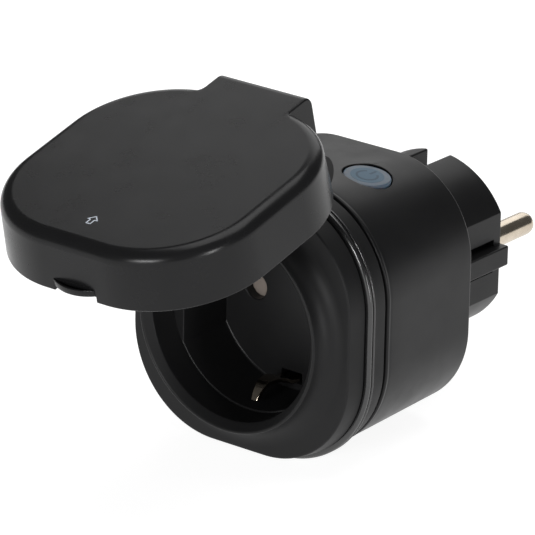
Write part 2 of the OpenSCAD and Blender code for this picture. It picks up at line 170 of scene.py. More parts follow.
def inset(points, distance):
    """A closed outline, moved in by distance with mitred corners."""
    area = sum(a[0] * b[1] - b[0] * a[1] for a, b in zip(points, points[1:] + points[:1]))
    side = 1 if area > 0 else -1
    out = []
    for i, p in enumerate(points):
        a, b = points[i - 1], points[(i + 1) % len(points)]
        d0 = Vector((p[0] - a[0], p[1] - a[1])).normalized()
        d1 = Vector((b[0] - p[0], b[1] - p[1])).normalized()
        n0, n1 = Vector((-d0.y, d0.x)), Vector((-d1.y, d1.x))
        m = n0 + n1
        m = m * (2 / max(m.length_squared, 0.4))
        out.append((p[0] + side * m.x * distance, p[1] + side * m.y * distance))
    return out


def prism(name, points, w0, w1, place, round0=0.0, round1=0.0, steps=3):
    """An outline carried from w0 to w1, with its end edges rounded."""
    levels = []
    for move, run in corner_arc(steps) if round0 else [(0, 0)]:
        levels.append((round0 * move, w0 + round0 * run))
    for move, run in reversed(corner_arc(steps)) if round1 else [(0, 0)]:
        levels.append((round1 * move, w1 - round1 * run))
    rings = []
    for move, w in levels:
        shape = inset(points, move) if move > 1e-9 else points
        rings.append([place(u, v, w) for u, v in shape])
    return loft(name, rings)


def filleted(corners, steps=5):
    """A closed outline from (u, v, radius) corners, each radius turned into an arc."""
    out = []
    for i, (u, v, r) in enumerate(corners):
        if not r:
            out.append((u, v))
            continue
        p = Vector((u, v))
        a = Vector(corners[i - 1][:2]) - p
        b = Vector(corners[(i + 1) % len(corners)][:2]) - p
        a.normalize()
        b.normalize()
        half = a.angle(b) / 2
        reach = r / math.tan(half)
        centre = p + (a + b).normalized() * (r / math.sin(half))
        start, end = p + a * reach - centre, p + b * reach - centre
        turn = math.atan2(start.x * end.y - start.y * end.x, start.dot(end))
        for k in range(steps + 1):
            t = turn * k / steps
            c, s = math.cos(t), math.sin(t)
            out.append((centre.x + start.x * c - start.y * s, centre.y + start.x * s + start.y * c))
    return out


def circle(r, n=96, u=0.0, v=0.0):
    return [(u + r * math.cos(2 * math.pi * k / n), v + r * math.sin(2 * math.pi * k / n)) for k in range(n)]


def turned(name, profile, place=along_y, u=0.0, v=0.0, n=64, closed=False):
    """A profile of (radius, station) turned about an axis."""
    rings = [[place(a, b, w) for a, b in circle(max(r, 0.001), n, u, v)] for r, w in profile]
    return loft(name, rings, closed)


def brick(name, low, high, edge=0.0):
    points = filleted([(low[0], low[2], edge), (high[0], low[2], edge), (high[0], high[2], edge),
                       (low[0], high[2], edge)])
    return prism(name, points, low[1], high[1], along_y)


def combine(piece, tool, operation):
    """Boolean with a tool that is then removed."""
    step = piece.modifiers.new("combine", "BOOLEAN")
    step.operation = operation
    step.solver = "EXACT"
    step.object = tool
    graph = bpy.context.evaluated_depsgraph_get()
    mesh = bpy.data.meshes.new_from_object(piece.evaluated_get(graph))
    piece.modifiers.clear()
    piece.data = mesh
    bpy.data.objects.remove(tool)
    clean(mesh)


def cut(piece, *tools):
    for tool in tools:
        combine(piece, tool, "DIFFERENCE")


def join(piece, *tools):
    for tool in tools:
        combine(piece, tool, "UNION")


def soften(piece, width, chosen, segments=2):
    """Rounds the sharp edges whose middle, in millimetres, is chosen."""
    bm = bmesh.new()
    bm.from_mesh(piece.data)
    edges = []
    for e in bm.edges:
        if len(e.link_faces) == 2 and e.calc_face_angle(0) > math.radians(40):
            if chosen((e.verts[0].co + e.verts[1].co) / 2 / MM):
                edges.append(e)
    bmesh.ops.bevel(bm, geom=edges, offset=width * MM, segments=segments, profile=0.5, affect="EDGES",
                    clamp_overlap=False)
    bm.to_mesh(piece.data)
    bm.free()
    clean(piece.data)


def housing_angles(arc=40, straight=8):
    """Polar angles of the housing's outline, used by every ring of the housing and the lid."""
    centre, angles = BODY - BODY_R, []
    for quarter in range(4):
        points = [(BODY, centre * k / straight * 2) for k in range(straight // 2)]
        points += [(centre + BODY_R * math.cos(math.pi / 2 * k / arc),
                    centre + BODY_R * math.sin(math.pi / 2 * k / arc)) for k in range(arc)]
        points += [(centre - centre * k / straight * 2, BODY) for k in range(straight // 2)]
        angles += [math.atan2(b, a) + quarter * math.pi / 2 for a, b in points]
    return angles


ANGLES = housing_angles()


def square_ring(half, r, y, half_z=None):
    """A rounded square of half width half, met by the common polar angles."""
    hz = half if half_z is None else half_z
    out = []
    for t in ANGLES:
        c, s = abs(math.cos(t)), abs(math.sin(t))
        if c * (hz - r) >= s * half:
            x, z = half, half * s / c
        elif s * (half - r) >= c * hz:
            x, z = hz * c / s, hz
        else:
            along = c * (half - r) + s * (hz - r)
            reach = along + math.sqrt(along ** 2 - (half - r) ** 2 - (hz - r) ** 2 + r ** 2)
            x, z = reach * c, reach * s
        out.append((math.copysign(x, math.cos(t)), y, math.copysign(z, math.sin(t))))
    return out


def round_ring(r, y):
    return [(r * math.cos(t), y, r * math.sin(t)) for t in ANGLES]


# ---------------------------------------------------------------- materials
def nodes_of(name):
    mat = bpy.data.materials.new(name)
    mat.use_nodes = True
    tree = mat.node_tree
    return mat, tree, tree.nodes["Principled BSDF"]


def noise(tree, scale, detail=3.0, rough=0.55, stretch=None):
    place = tree.nodes.new("ShaderNodeTexCoord")
    tex = tree.nodes.new("ShaderNodeTexNoise")
    tex.inputs["Scale"].default_value = scale
    tex.inputs["Detail"].default_value = detail
    tex.inputs["Roughness"].default_value = rough
    source = place.outputs["Object"]
    if stretch:
        mapping = tree.nodes.new("ShaderNodeMapping")
        mapping.inputs["Scale"].default_value = stretch
        tree.links.new(source, mapping.inputs["Vector"])
        source = mapping.outputs["Vector"]
    tree.links.new(source, tex.inputs["Vector"])
    return tex.outputs["Fac"]


def spread(tree, source, low, high, from_low=0.3, from_high=0.7):
    step = tree.nodes.new("ShaderNodeMapRange")
    step.inputs["From Min"].default_value = from_low
    step.inputs["From Max"].default_value = from_high
    step.inputs["To Min"].default_value = low
    step.inputs["To Max"].default_value = high
    tree.links.new(source, step.inputs["Value"])
    return step.outputs["Result"]


def tint(tree, source, dark, light):
    ramp = tree.nodes.new("ShaderNodeValToRGB")
    ramp.color_ramp.elements[0].position = 0.3
    ramp.color_ramp.elements[1].position = 0.7
    ramp.color_ramp.elements[0].color = (*dark, 1)
    ramp.color_ramp.elements[1].color = (*light, 1)
    tree.links.new(source, ramp.inputs["Fac"])
    return ramp.outputs["Color"]


def bump(tree, shader, source, depth_mm, strength=1.0, edge_mm=0.0):
    step = tree.nodes.new("ShaderNodeBump")
    step.inputs["Distance"].default_value = depth_mm * MM
    step.inputs["Strength"].default_value = strength
    tree.links.new(source, step.inputs["Height"])
    if edge_mm:
        edge = tree.nodes.new("ShaderNodeBevel")
        edge.samples = 4
        edge.inputs["Radius"].default_value = edge_mm * MM
        tree.links.new(edge.outputs["Normal"], step.inputs["Normal"])
    tree.links.new(step.outputs["Normal"], shader.inputs["Normal"])


def moulded(name, dark, light, rough, grain_mm=0.25, depth=0.004, edge=0.1, specular=0.2):
    """Moulded plastic: a spark-eroded grain, faint flow marks in its gloss, and slightly uneven colour."""
    mat, tree, shader = nodes_of(name)
    shader.inputs["Specular IOR Level"].default_value = specular
    tree.links.new(tint(tree, noise(tree, 90), dark, light), shader.inputs["Base Color"])
    tree.links.new(spread(tree, noise(tree, 160, 5), rough - 0.04, rough + 0.04), shader.inputs["Roughness"])
    bump(tree, shader, noise(tree, 1 / (grain_mm * MM), 2), depth, 1.0, edge)
    return mat


def metal(name, dark, light, rough, stretch=(1, 1, 1), scale=900, depth=0.002, edge=0.1):
    """Plated metal with drawn or stamped lines along one direction."""
    mat, tree, shader = nodes_of(name)
    shader.inputs["Metallic"].default_value = 1.0
    lines = noise(tree, scale, 4, 0.6, stretch)
    tree.links.new(tint(tree, noise(tree, 220, 3), dark, light), shader.inputs["Base Color"])
    tree.links.new(spread(tree, lines, rough - 0.07, rough + 0.09), shader.inputs["Roughness"])
    bump(tree, shader, lines, depth, 0.8, edge)
    return mat


def translucent(name, dark, light, rough):
    mat, tree, shader = nodes_of(name)
    shader.inputs["Transmission Weight"].default_value = 0.18
    shader.inputs["Subsurface Weight"].default_value = 0.25
    shader.inputs["Subsurface Scale"].default_value = 0.0015
    tree.links.new(tint(tree, noise(tree, 700, 3), dark, light), shader.inputs["Base Color"])
    tree.links.new(spread(tree, noise(tree, 900, 2), rough - 0.05, rough + 0.05), shader.inputs["Roughness"])
    bump(tree, shader, noise(tree, 3500, 2), 0.004, 1.0, 0.1)
    return mat


BLACK = moulded("black_plastic", (0.0072, 0.0072, 0.0076), (0.0086, 0.0086, 0.0091), 0.38)
COVER_BLACK = moulded("cover_plastic", (0.0074, 0.0074, 0.0078), (0.0088, 0.0088, 0.0092), 0.48)
LID_BLACK = moulded("lid_plastic", (0.0084, 0.0084, 0.0088), (0.0098, 0.0098, 0.0103), 0.25, 0.22, 0.003)
MATERIALS = {
    "housing_black": BLACK,
    "insert_black": moulded("insert_plastic", (0.0105, 0.0105, 0.0109), (0.0120, 0.0120, 0.0125),
                            0.36, 0.3, 0.002),
    "seal_rubber": moulded("seal_rubber", (0.0070, 0.0070, 0.0074), (0.0090, 0.0090, 0.0094),
                           0.22, 0.3, 0.003, 0.15, 0.85),
    "steel_plated": metal("zinc_steel", (0.50, 0.51, 0.52), (0.66, 0.67, 0.68), 0.33),
    "button_translucent": translucent("button_plastic", (0.072, 0.112, 0.160), (0.084, 0.130, 0.182), 0.42),
    "board_green": moulded("solder_mask", (0.010, 0.070, 0.030), (0.016, 0.095, 0.042), 0.40),
    "led_lens": moulded("led_lens", (0.70, 0.74, 0.76), (0.80, 0.83, 0.85), 0.15, 0.5, 0.001),
    "component_blue": moulded("blue_part", (0.015, 0.055, 0.20), (0.022, 0.075, 0.26), 0.40),
    "component_yellow": moulded("yellow_part", (0.48, 0.34, 0.06), (0.56, 0.41, 0.09), 0.42),
    "component_dark": moulded("dark_part", (0.018, 0.018, 0.035), (0.026, 0.026, 0.048), 0.30),
    "component_light": moulded("ceramic_part", (0.52, 0.52, 0.48), (0.62, 0.62, 0.58), 0.25),
    "block_white": moulded("white_block", (0.62, 0.60, 0.53), (0.70, 0.68, 0.61), 0.48),
    "contact_brass": metal("brass", (0.56, 0.39, 0.16), (0.68, 0.49, 0.22), 0.26, (1, 0.1, 1)),
    "shutter_grey": moulded("shutter_plastic", (0.200, 0.170, 0.150), (0.250, 0.215, 0.190), 0.45),
    "contact_nickel": metal("nickel", (0.52, 0.45, 0.36), (0.68, 0.60, 0.49), 0.24, (1, 0.08, 1)),
}
PRINT = moulded("pale_print", (0.55, 0.60, 0.68), (0.68, 0.73, 0.80), 0.55, 0.1, 0.002, 0.0)
ICON = moulded("icon_print", (0.036, 0.075, 0.115), (0.044, 0.088, 0.135), 0.45, 0.1, 0.002, 0.0)
LENS = moulded("icon_lens", (0.060, 0.125, 0.185), (0.070, 0.142, 0.210), 0.42, 0.1, 0.002, 0.0)
# A darker copy of the nickel: painted shade for the earth clips down in the recess
NICKEL_IN_PAINTED_SHADE = metal("nickel_painted_shade", (0.36, 0.31, 0.25), (0.48, 0.42, 0.35), 0.16, (1, 0.08, 1))
SMOOTH_ANGLE = math.radians(34)

slot_of = {part["node"]: part["material_slot"] for part in frame["record"]["subparts"]}
for name, node in nodes.items():
    for place in node.material_slots:
        place.material = MATERIALS[slot_of[name]]
    if not node.material_slots:
        node.data.materials.append(MATERIALS[slot_of[name]])


def settle(piece, body, slot, material=None, stands_for=()):
    """Material, shading and body of a finished piece."""
    piece.data.materials.clear()
    piece.data.materials.append(material or MATERIALS[slot])
    piece.data.shade_smooth()
    piece.data.set_sharp_from_angle(angle=SMOOTH_ANGLE)
    flat = piece.modifiers.new("face_weighted", "WEIGHTED_NORMAL")
    flat.keep_sharp = True
    flat.weight = 60
    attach(piece, body)
    if stands_for:
        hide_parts(*stands_for)


# ---------------------------------------------------------------- front cover
def arc_steps(start, end, steps):
    return [math.radians(start + (end - start) * k / steps) for k in range(steps + 1)]


OUT = BODY - BODY_R                    # centre of the housing's corner arcs, from the middle


def rim_section():
    """Rings of the cover from the recess wall over the rim and the hollow fillet to the face."""
    fillet = 4.0
    rings = [round_ring(RECESS_R, INSERT_Y - 0.12), round_ring(RECESS_R, RIM_Y + 1.8),
             round_ring(RECESS_R + 0.04, RIM_Y + 1.6), round_ring(RECESS_R + 0.14, RIM_Y + 1.42),
             round_ring(RIM_R - 0.75, RIM_Y + 0.22), round_ring(RIM_R - 0.55, RIM_Y + 0.07)]
    rings += [round_ring(RIM_R - 0.35 + 0.35 * math.sin(t), RIM_Y + 0.35 - 0.35 * math.cos(t))
              for t in arc_steps(0, 90, 4)]
    rings += [round_ring(RIM_R + fillet * (1 - math.cos(t)), FACE_Y - fillet * (1 - math.sin(t)))
              for t in arc_steps(0, 90, 10)]
    return rings


def cover_side():
    """Rings of the cover from the face round its drafted side, groove and band to the seam."""
    face, step = 26.7, BODY - 0.12
    step_y = bead_lo.y - 0.25
    groove = bead_hi.x - GROOVE
    edge, round_off = 0.45, 0.22
    rings = [square_ring(face - edge * m, face - edge * m - OUT, FACE_Y + edge * r)
             for m, r in corner_arc(4)]
    rings += [square_ring(step - round_off * m, step - round_off * m - OUT, step_y - round_off * r)
              for m, r in reversed(corner_arc(3))]
    rings += [square_ring(groove, groove - OUT, step_y), square_ring(groove, groove - OUT, bead_hi.y + 0.05)]
    rings += [square_ring(BODY - round_off * m, BODY - round_off * m - OUT, bead_hi.y + 0.05 + round_off * r)
              for m, r in corner_arc(3)]
    rings += [square_ring(BODY - round_off * m, BODY - round_off * m - OUT, BAND_Y - round_off * r)
              for m, r in reversed(corner_arc(3))]
    return rings


def cover_inside():
    """Rings of the cover's spigot, inner wall and recess tube."""
    spigot = [(24.0, BAND_Y), (24.0, BAND_Y + 2.6), (22.2, BAND_Y + 2.6), (22.2, BAND_Y - 2),
              (23.6, BAND_Y - 2), (23.6, FACE_Y + WALL)]
    rings = [square_ring(half, half - OUT, y) for half, y in spigot]
    rings += [round_ring(TUBE_R, FACE_Y + WALL), round_ring(TUBE_R, FLOOR_Y),
              round_ring(RECESS_R + 0.6, FLOOR_Y), round_ring(RECESS_R + 0.6, INSERT_Y - 0.12)]
    return rings


def ear(side):
    """A fixed hinge ear: round about the pin, with tangent flanks down into the cover."""
    radius, front, back, foot = 4.0, INSERT_Y + 0.4, BAND_Y - 0.3, BODY - 2.0
    points = [(front, foot)]
    points += [(HINGE_Y + radius * math.cos(t), HINGE_Z + radius * math.sin(t))
               for t in arc_steps(172, -38, 40)]
    points += [(back, foot)]
    x0 = HOOD + 0.3
    low, high = (x0, x0 + 1.6) if side > 0 else (-x0 - 1.6, -x0)
    return prism("ear", points, low, high, along_x, 0.3, 0.3)


cover = loft("front_cover_shell", rim_section() + cover_side() + cover_inside(), closed=True)
for side in (-1, 1):
    join(cover, ear(side))
for x, z in CORNERS:
    join(cover, turned("post", [(2.8, FACE_Y + 1), (2.8, BAND_Y + 0.1)], u=x, v=z, n=32))
    cut(cover, turned("bore", [(1.42, BAND_Y - 6), (1.42, BAND_Y + 4)], u=x, v=z, n=24))
cut(cover, turned("pin_bore", [(1.22, -14), (1.22, 14)], about_hinge, n=32))
settle(cover, "root", "housing_black", COVER_BLACK, ["front_cover"])

bead_half = bead_hi.x
bead_foot = bead_half - GROOVE + 0.04
lip_y = bead_lo.y + 1.3                # a fine groove splits the bead into a wide lip and a narrow one
section = [(bead_foot, bead_lo.y)]
for start, end, out in ((bead_lo.y, lip_y, 0.9), (lip_y, bead_hi.y, 0.5)):
    section += [(bead_half - out + out * math.cos(t), (start + end) / 2 + (end - start) / 2 * math.sin(t))
                for t in arc_steps(-76, 76, 10)]
section += [(bead_foot, bead_hi.y)]
bead = loft("collar_bead", [square_ring(h, h - OUT, y) for h, y in section], closed=True)
settle(bead, "root", "seal_rubber", stands_for=["collar_gasket"])


# ---------------------------------------------------------------- rear shell
def shell_half(y):
    """Half width and corner radius of the tapering shell at a station."""
    share = (y - SHELL_Y) / (REAR_Y - REAR_ROUND - SHELL_Y)
    return BODY + (REAR - BODY) * share, BODY_R + (REAR_R - BODY_R) * share


def shell_rings():
    """Rings of the shell from the lip at its seam over the rear to the inner wall."""
    lip = [(-0.42, 0.0), (-0.16, 0.06), (-0.02, 0.20), (0.06, 0.42), (0.03, 0.64), (-0.06, 0.86),
           (-0.11, 1.05), (-0.10, 1.3), (-0.03, 1.9)]
    lip_end = SHELL_Y + lip[-1][1]
    rings = []
    for move, run in lip:
        half, r = shell_half(SHELL_Y + run)
        rings.append(square_ring(half + move, r + move, SHELL_Y + run))
    last = REAR_Y - REAR_ROUND
    for k in range(1, 9):
        y = lip_end + (last - lip_end) * k / 8
        half, r = shell_half(y)
        rings.append(square_ring(half, r, y))
    for t in arc_steps(15, 90, 5):
        move = REAR_ROUND * (1 - math.cos(t))
        rings.append(square_ring(REAR - move, REAR_R - move, last + REAR_ROUND * math.sin(t)))
    rings += [round_ring(PLUG_R + 0.28, REAR_Y), round_ring(PLUG_R + 0.14, REAR_Y),
              round_ring(PLUG_R + 0.06, REAR_Y - 0.2), round_ring(PLUG_R + 0.06, REAR_IN)]
    rings += [square_ring(24.2, 17.7, y) for y in (REAR_IN, SHELL_Y)]
    return rings


shell = loft("rear_shell_skin", shell_rings(), closed=True)
cap_r, cap_top = 4.85, -0.25
bore_r = cap_r + 0.2
join(shell, turned("collar", [(bore_r + 1.2, -4.6), (bore_r + 1.2, -1.4)], on_button, n=64))
for x, z in CORNERS:
    join(shell, turned("post", [(3.3, SHELL_Y + 3.6), (3.3, REAR_IN + 0.6)], u=x, v=z, n=40))
screw_seat = REAR_Y - 3.2
for x, z in CORNERS:
    tunnel = [(1.55, SHELL_Y - 1), (1.55, screw_seat), (2.7, screw_seat), (2.7, REAR_Y + 2)]
    cut(shell, turned("bore", tunnel, u=x, v=z, n=40))
cut(shell, turned("button_bore", [(bore_r, -8), (bore_r, 4)], on_button, n=96))


def at_button_mouth(p):
    local = BUTTON_FRAME.inverted() @ p
    return abs(math.hypot(local.x, local.y) - bore_r) < 0.06 and local.z > -1.4


soften(shell, 0.22, at_button_mouth, 3)
settle(shell, "root", "housing_black", stands_for=["rear_shell"])


# ---------------------------------------------------------------- plug body
def plug_outline():
    """Quarter by quarter: rib, side flat, round body and earthing notch, as one closed outline."""
    rib, flat, notch, notch_floor = 2.1, 16.1, 2.7, 14.2
    top = math.sqrt(PLUG_R ** 2 - flat ** 2)
    start = math.degrees(math.atan2(top, flat))
    end = math.degrees(math.acos(notch / PLUG_R))
    quarter = [(math.sqrt(PLUG_R ** 2 - rib ** 2), rib, 0.35), (flat, rib, 0.2), (flat, top, 0.5)]
    quarter += [(PLUG_R * math.cos(t), PLUG_R * math.sin(t), 0)
                for t in arc_steps(start + 2.4, end - 2.4, 24)]
    quarter += [(notch, math.sqrt(PLUG_R ** 2 - notch ** 2), 0.4), (notch, notch_floor, 0.25)]
    left = [(-x, z, r) for x, z, r in reversed(quarter)]
    under = [(-x, -z, r) for x, z, r in quarter]
    right = [(x, -z, r) for x, z, r in reversed(quarter)]
    return filleted(quarter + left + under + right, 4)


section = plug_outline()
turns = [math.atan2(z, x) for x, z in section]
step_y, edge = -18.6, 0.35


def plug_circle(r, y):
    return [(r * math.cos(t), y, r * math.sin(t)) for t in turns]


rings = [plug_circle(12, -4.0), plug_circle(12, base_lo.y), plug_circle(PLUG_R + 1.6, base_lo.y),
         plug_circle(PLUG_R + 1.6, REAR_IN), plug_circle(PLUG_R, REAR_IN), plug_circle(PLUG_R, step_y - 0.25),
         plug_circle(PLUG_R - 0.08, step_y - 0.08), plug_circle(PLUG_R - 0.22, step_y)]
rings += [[(x, y, z) for x, z in section] for y in (step_y, -12.4, -6.2)]
rings += [[(x, base_hi.y - edge * run, z) for x, z in inset(section, edge * move)]
          for move, run in reversed(corner_arc(4))]
plug = loft("plug_moulding", rings)
for side in (-1, 1):
    cut(plug, turned("bore", [(2.22, -8), (2.22, -0.6), (2.5, -0.6), (2.5, 2)], u=side * PIN_X, n=48))
    for up in (-1, 1):
        x, z = side * 15.4, up * 2.8
        cut(plug, brick("slot", (x - 1.2, -11.8, z - 0.7), (x + 1.2, -2.4, z + 0.7), 0.12))
settle(plug, "root", "housing_black", stands_for=["plug_base"])


# ---------------------------------------------------------------- lid
def lid_ring(move, y):
    """Outline of the drafted lid at a station, moved in."""
    move += LID_DRAFT * (SKIRT_Y - y) / (SKIRT_Y - LID_Y)
    return [(x, y, z) for x, _, z in square_ring(LID_W - move, LID_R - move, y, LID_H - move)]


def lid_rings():
    """Rings of the lid from the middle of its outer face over the skirt to the hollow's floor."""
    fillet, edge, inside = 2.7, 0.3, 1.0
    rings = [lid_ring(fillet * m, LID_Y + fillet * r) for m, r in corner_arc(12)]
    rings += [lid_ring(edge * m, SKIRT_Y - edge * r) for m, r in reversed(corner_arc(3))]
    rings += [lid_ring(LID_WALL - 0.15 * m, SKIRT_Y - 0.15 * r) for m, r in corner_arc(2)]
    floor = LID_Y + 1.8
    rings += [lid_ring(LID_WALL + inside * m, floor + inside * r) for m, r in reversed(corner_arc(6))]
    return rings


def hood():
    """The hinge hood: flat on top, rounded into its back, and round about the hinge pin."""
    bend, under = 2.3, 27.4
    points = [(LID_Y, 21.0)]
    points += [(LID_Y + bend - bend * math.cos(t), HOOD_TOP - bend + bend * math.sin(t))
               for t in arc_steps(0, 90, 12)]
    points += [(HINGE_Y + HOOD_R * math.sin(t), HINGE_Z + HOOD_R * math.cos(t))
               for t in arc_steps(4, 180, 28)]
    points += [(SKIRT_Y - 1, under), (SKIRT_Y - 1, 21.0)]
    return prism("hood", points, -HOOD, HOOD, along_x, 0.45, 0.45, 4)


def flare(side):
    """Hollow fillet between the hood's side and the lid's outline."""
    r, top = 2.0, 27.2
    points = [(HOOD - 1.5, 22.0), (HOOD + 2.0, 22.0)]
    arc = [(HOOD + r - r * math.cos(t), top - r * math.sin(t)) for t in arc_steps(70, 0, 12)]
    points += arc + [(HOOD - 1.5, top)]
    points = [(side * x, z) for x, z in points]
    return prism("flare", points, LID_Y + 0.004, SKIRT_Y - 0.1, along_y, 0.35, 0.0, 3)


def bow(out, depth, low, high, ends):
    """The bowed lip of the finger grip, or the groove behind it."""
    half = 5.0
    r = (half ** 2 + out ** 2) / (2 * out)
    reach = math.degrees(math.asin(half / r))
    points = [(r * math.sin(t), -LID_H - out + r * (1 - math.cos(t))) for t in arc_steps(-reach, reach, 24)]
    points += [(half, -LID_H + depth), (-half, -LID_H + depth)]
    return prism("bow", points, low, high, along_y, ends, ends, 3)


lid = loft("lid_cover", lid_rings())
join(lid, hood(), flare(1), flare(-1))
grip0, grip1 = SKIRT_Y - 2.8, SKIRT_Y - 1.4
join(lid, bow(1.5, 0.6, grip0, grip1, 0.18))
# The hood and the flares reach into the hollow, which a cutter a hair smaller than it clears again.
hair = 0.03
inner = [lid_ring(LID_WALL + hair + m, LID_Y + 1.8 + hair + r) for m, r in corner_arc(6)]
cut(lid, loft("inside", inner + [lid_ring(LID_WALL + hair, SKIRT_Y + 1)]))
cut(lid, brick("bead_gap", (-14, bead_lo.y - 0.5, 25.0), (14, bead_hi.y + 0.4, 28.45), 0.2))
cut(lid, brick("hollow", (-HOOD + 1.5, LID_Y + 2.1, 25.0), (HOOD - 1.5, SKIRT_Y + 0.2, HOOD_TOP - 1.6), 0.5))
cut(lid, brick("notch", (-5.2, grip1, -LID_H - 2), (5.2, SKIRT_Y + 1, -LID_H + 3), 0.1))
cut(lid, bow(1.02, 0.02, grip0 - 0.1, grip1 - 0.4, 0.0))
cut(lid, turned("pin_bore", [(1.26, -14), (1.26, 14)], about_hinge, n=40))
for v in lid.data.vertices:
    v.co = Vector(lid_open(v.co / MM)) * MM
settle(lid, "lid", "housing_black", LID_BLACK, ["lid"])


def lid_point(u, v, w):
    return lid_open((u, w, v))


def stroke_loop(name, points, width, place, low, high, material, body, slot):
    """A closed printed line of even width, as a thin film."""
    inner = inset(points, width)
    rings = [[place(u, v, low) for u, v in points], [place(u, v, high) for u, v in points],
             [place(u, v, high) for u, v in inner], [place(u, v, low) for u, v in inner]]
    settle(loft(name, rings, closed=True), body, slot, material)


arrow = [(-0.6, -1.4), (0.6, -1.4), (0.6, -0.05), (1.4, -0.05), (0.0, 1.4), (-1.4, -0.05), (-0.6, -0.05)]
arrow = filleted([(u - 0.3, v - 20.1, 0.08) for u, v in arrow], 3)
stroke_loop("lid_arrow", arrow, 0.24, lid_point, LID_Y - 0.02, LID_Y + 0.03, PRINT, "lid", "housing_black")

seal = [(18.9, LID_Y + 1.75), (22.4, LID_Y + 1.75)]
seal += [(r, RIM_Y - gap) for r, gap in ((22.4, 0.45), (22.15, 0.2), (21.9, 0.45), (21.5, 0.6), (20.2, 0.6),
                                         (19.4, 0.45), (19.15, 0.2), (18.9, 0.45))]
lid_seal = turned("lid_seal_ring", seal, lid_point, n=128, closed=True)
settle(lid_seal, "lid", "seal_rubber", stands_for=["lid_gasket"])

pin_half = hinge_hi.x
rod = [(0.95, -pin_half), (1.18, -pin_half + 0.25), (1.18, pin_half - 0.25), (0.95, pin_half)]
hinge = turned("hinge_rod", rod, about_hinge, n=40)
settle(hinge, "root", "steel_plated", stands_for=["hinge_pin"])


# ---------------------------------------------------------------- socket insert
def insert_rings():
    cup, inner = RECESS_R + 0.55, RECESS_R - 0.35
    rings = [round_ring(inner - 0.5 * m, FLOOR_Y - 0.5 * r) for m, r in corner_arc(4)]
    rings += [round_ring(inner + 0.2 * m, INSERT_Y + 0.2 * r) for m, r in reversed(corner_arc(3))]
    rings += [round_ring(cup, INSERT_Y), round_ring(cup, FLOOR_Y), round_ring(TUBE_R, FLOOR_Y),
              round_ring(TUBE_R, FLOOR_BACK)]
    return rings


def guide(side):
    """The guide at one side of the cup, with its flat towards the middle."""
    flat, r = 16.8, 19.9
    reach = math.degrees(math.acos(flat / r))
    points = [(side * r * math.cos(t), side * r * math.sin(t)) for t in arc_steps(-reach, reach, 20)]
    return prism("guide", points, INSERT_Y + 0.02, FLOOR_Y + 0.6, along_y, 0.35, 0.0, 3)


insert = loft("socket_cup", insert_rings())
for side in (-1, 1):
    join(insert, guide(side))
for side in (-1, 1):
    slot_x, clip_z = side * 17.65, side * 16.8
    cut(insert, brick("slot", (slot_x - 1.6, INSERT_Y - 1, -2.6), (slot_x + 1.6, FLOOR_Y - 0.02, 2.6), 0.2))
    cut(insert, turned("pin_hole", [(3.0, FLOOR_Y - 0.1), (2.65, FLOOR_Y + 0.2), (2.65, FLOOR_BACK + 1)],
                       u=side * PIN_X, n=64))
    cut(insert, brick("clip_slot", (-2.6, FLOOR_Y - 1, clip_z - 1.2),
                      (2.6, FLOOR_BACK + 1, clip_z + 1.2), 0.2))
cut(insert, turned("screw_hole", [(1.0, FLOOR_BACK - 1.4), (1.0, FLOOR_BACK + 1)], n=32))
settle(insert, "root", "insert_black", stands_for=["socket_insert"])


# ---------------------------------------------------------------- contacts
def smooth_path(points, per=6):
    """A Catmull-Rom line through (u, v) points."""
    out = []
    for i in range(len(points) - 1):
        p = [points[max(i - 1, 0)], points[i], points[i + 1], points[min(i + 2, len(points) - 1)]]
        for k in range(per):
            t = k / per
            out.append(tuple(0.5 * ((2 * p[1][c]) + (p[2][c] - p[0][c]) * t
                                    + (2 * p[0][c] - 5 * p[1][c] + 4 * p[2][c] - p[3][c]) * t * t
                                    + (3 * p[1][c] - p[0][c] - 3 * p[2][c] + p[3][c]) * t ** 3)
                             for c in (0, 1)))
    return out + [points[-1]]


def strap(name, path, thick, width, side, edge=0.14):
    """A bent metal strap: a path in Y and Z, thickened outwards, and carried across X."""
    line = smooth_path(path)
    far = []
    for i, p in enumerate(line):
        a, b = line[max(i - 1, 0)], line[min(i + 1, len(line) - 1)]
        along = Vector((b[0] - a[0], b[1] - a[1])).normalized()
        off = Vector((along.y, -along.x)) if along.x < 0 else Vector((-along.y, along.x))
        far.append((p[0] + off.x * thick, p[1] + off.y * thick))
    points = [(y, side * z) for y, z in line + far[::-1]]
    return prism(name, points, -width / 2, width / 2, along_x, edge, edge, 2)


bridge_y = FLOOR_BACK + 12.4
CLIP_W, CLIP_T = 4.6, 0.8
clip_path = [(bridge_y, 16.4), (FLOOR_Y + 4, 16.4), (FLOOR_Y - 1.6, 16.4), (FLOOR_Y - 3.8, 15.6),
             (FLOOR_Y - 6, 14.95),
             (FLOOR_Y - 8, 14.85), (FLOOR_Y - 9.6, 15.2), (FLOOR_Y - 11.3, 16.7), (FLOOR_Y - 12.1, 18.2)]
strip_path = [(bridge_y + CLIP_T, 14.22), (-22, 14.22), (-17, 14.22), (-14, 14.55), (-11, 15.4),
              (-8, 15.5), (-5, 14.75),
              (-3.4, 14.24)]
TAPER_FROM, TIP_SHARE = FLOOR_Y - 3, 0.3
for name, side in (("upper", 1), ("lower", -1)):
    clip = strap("recess_clip_" + name, clip_path, CLIP_T, CLIP_W, side)
    for vertex in clip.data.vertices:
        along = min(max((TAPER_FROM - vertex.co.y / MM) / (TAPER_FROM - clip_path[-1][0]), 0), 1)
        vertex.co.x *= 1 - (1 - TIP_SHARE) * along ** 1.4
    # The recess clips take the darker nickel, painted shade of the recess
    settle(clip, "root", "contact_nickel", NICKEL_IN_PAINTED_SHADE, stands_for=["earth_clip_" + name])
    settle(strap("plug_strip_" + name, strip_path, CLIP_T, CLIP_W, side), "root", "contact_nickel",
           stands_for=["plug_earth_" + name])

